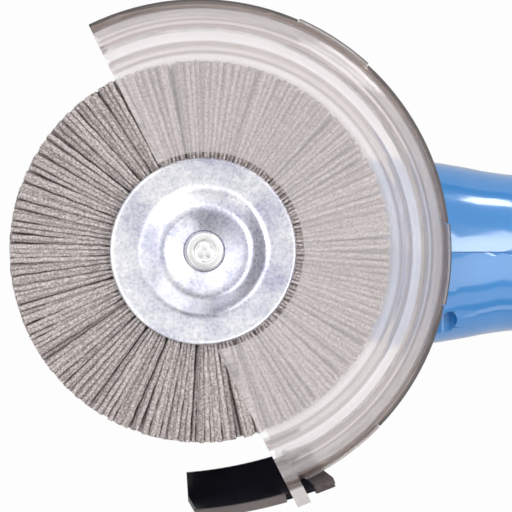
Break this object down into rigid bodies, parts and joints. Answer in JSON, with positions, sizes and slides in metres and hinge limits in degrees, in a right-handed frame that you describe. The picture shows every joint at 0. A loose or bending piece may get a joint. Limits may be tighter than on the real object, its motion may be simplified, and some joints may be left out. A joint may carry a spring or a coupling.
{
  "type": "angle grinder",
  "caption": "Corded angle grinder lying on its back, with a grey filament wheel brush under a clear half guard, a pull-out deflector and a blue motor housing.",
  "frame": {"origin": "where the spindle axis meets the plane that the tool rests on, on its back", "axes": "+X along the motor towards the cord end, +Z along the spindle out of the wheel, +Y to the tool's left, up in the picture"},
  "size_m": [0.3285, 0.1531, 0.1011],
  "materials": {
    "head_metal": "sand-cast, satin",
    "body_blue": "moulded, glossy",
    "steel": "turned",
    "plate_zinc": "zinc-plated, spangled",
    "filament": "abrasive filament",
    "clear_plastic": "clear polycarbonate",
    "strip_black": "moulded, satin",
    "edging_grey": "moulded, satin",
    "rubber_black": "matte",
    "copper": "enamelled wire",
    "lamination": "stamped stack",
    "carbon": "pressed carbon",
    "dark_plastic": "moulded",
    "brass": "bright",
    "bronze": "sintered"
  },
  "bodies": {
    "casing": {"gear_housing": "head_metal", "gear_housing_screws": "steel", "spindle_retainer": "head_metal", "retainer_screws": "steel", "spindle_bearing": "steel", "spindle_bush": "bronze", "lock_spring": "steel", "front_bearing": "steel", "rear_bearing": "steel", "stator_core": "lamination", "field_coils": "copper", "carbon_brushes": "carbon", "brush_holders": "brass", "air_baffle": "dark_plastic", "housing_left": "body_blue", "housing_right": "body_blue", "housing_screws": "steel", "switch_unit": "dark_plastic", "cord_gland": "rubber_black"},
    "wheel": {"spindle": "steel", "crown_gear": "steel", "spindle_flange": "steel", "brush_arbor": "plate_zinc", "brush_front_plate": "plate_zinc", "brush_back_plate": "plate_zinc", "brush_bristles": "filament"},
    "armature": {"armature_shaft": "steel", "pinion": "steel", "pinion_nut": "steel", "fan": "dark_plastic", "rotor_core": "lamination", "rotor_windings": "copper", "commutator": "copper"},
    "guard": {"guard_back": "clear_plastic", "guard_front": "clear_plastic", "guard_edging": "edging_grey", "guard_rivets": "steel", "guard_clamp": "steel", "clamp_screw": "steel"},
    "strip": {"deflector": "strip_black", "deflector_lip": "edging_grey"},
    "lock": {"lock_button": "dark_plastic"},
    "switch": {"switch_slide": "dark_plastic"}
  },
  "joints": [
    {"name": "spindle_spin", "type": "hinge", "parent": "casing", "child": "wheel", "pos_m": [0, 0, 0.076], "axis": [0, 0, 1], "continuous": true},
    {"name": "armature_spin", "type": "hinge", "parent": "casing", "child": "armature", "pos_m": [0.03, 0, 0.03], "axis": [1, 0, 0], "continuous": true},
    {"name": "guard_turn", "type": "hinge", "parent": "casing", "child": "guard", "pos_m": [0, 0, 0.066], "axis": [0, 0, 1], "range_deg": [-60, 60]},
    {"name": "deflector_slide", "type": "hinge", "parent": "guard", "child": "strip", "pos_m": [0, 0, 0.084], "axis": [0, 0, 1], "range_deg": [0, 24]},
    {"name": "lock_press", "type": "slide", "parent": "casing", "child": "lock", "axis": [0, 0, 1], "range_m": [0, 0.004], "stiffness_N_per_m": 600, "springref_m": -0.002, "deforming": ["lock_spring"]},
    {"name": "switch_push", "type": "slide", "parent": "casing", "child": "switch", "axis": [-1, 0, 0], "range_m": [0, 0.007]}
  ],
  "couplings": [
    {"joint": "armature_spin", "follows": "spindle_spin", "ratio": -3}
  ]
}
